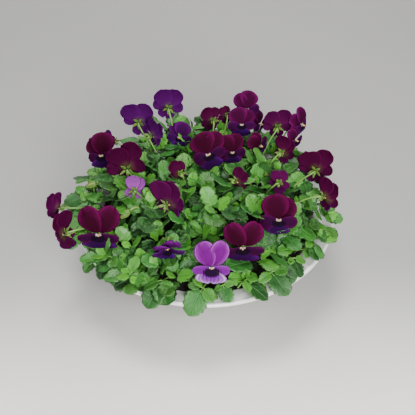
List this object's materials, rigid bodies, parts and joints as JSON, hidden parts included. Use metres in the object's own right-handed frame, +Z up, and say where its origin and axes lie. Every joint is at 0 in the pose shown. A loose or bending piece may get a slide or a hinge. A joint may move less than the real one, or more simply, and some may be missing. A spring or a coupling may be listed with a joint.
{
  "type": "potted viola planter",
  "caption": "Shallow round glazed bowl of potting soil planted with violas: a low mound of scalloped green leaves under dark purple, burgundy and lilac five-petalled blooms.",
  "frame": {"origin": "middle of the flat underside of the bowl's foot, on the surface it stands on", "axes": "+Z up along the bowl's turning axis; -Y towards the front, the side from which the planter is looked at; +X to the right of that view"},
  "size_m": [0.2775, 0.2756, 0.1641],
  "materials": {
    "glaze": "gloss",
    "soil": "matte",
    "leaf": "satin",
    "bud": "satin",
    "burgundy_petal": "matte",
    "plum_petal": "matte",
    "violet_petal": "matte",
    "lilac_petal": "matte"
  },
  "bodies": {
    "root": {"bowl": "glaze", "potting_soil": "soil", "plant_1": "leaf", "plant_2": "leaf", "plant_3": "leaf", "plant_4": "leaf", "plant_5": "leaf", "plant_6": "leaf", "plant_7": "leaf", "bloom_01": "violet_petal", "bloom_02": "violet_petal", "bloom_03": "violet_petal", "bloom_04": "violet_petal", "bloom_05": "burgundy_petal", "bloom_06": "plum_petal", "bloom_07": "plum_petal", "bloom_08": "burgundy_petal", "bloom_09": "plum_petal", "bloom_10": "plum_petal", "bloom_11": "plum_petal", "bloom_12": "burgundy_petal", "bloom_13": "burgundy_petal", "bloom_14": "burgundy_petal", "bloom_15": "plum_petal", "bloom_16": "burgundy_petal", "bloom_17": "burgundy_petal", "bloom_18": "lilac_petal", "bloom_19": "violet_petal", "bloom_20": "burgundy_petal", "bloom_21": "burgundy_petal", "bloom_22": "plum_petal", "bloom_23": "burgundy_petal", "bloom_24": "violet_petal", "bloom_25": "burgundy_petal", "bloom_26": "lilac_petal", "bloom_27": "plum_petal", "bloom_28": "burgundy_petal", "bloom_29": "burgundy_petal", "bloom_30": "burgundy_petal", "bloom_31": "burgundy_petal", "bloom_32": "burgundy_petal", "bloom_33": "plum_petal", "bud_1": "bud", "bud_2": "bud", "bud_3": "bud", "rim_leaf_01": "leaf", "rim_leaf_02": "leaf", "rim_leaf_03": "leaf", "rim_leaf_04": "leaf", "rim_leaf_05": "leaf", "rim_leaf_06": "leaf", "rim_leaf_07": "leaf", "rim_leaf_08": "leaf", "rim_leaf_09": "leaf", "rim_leaf_10": "leaf", "rim_leaf_11": "leaf", "rim_leaf_12": "leaf"}
  },
  "joints": []
}
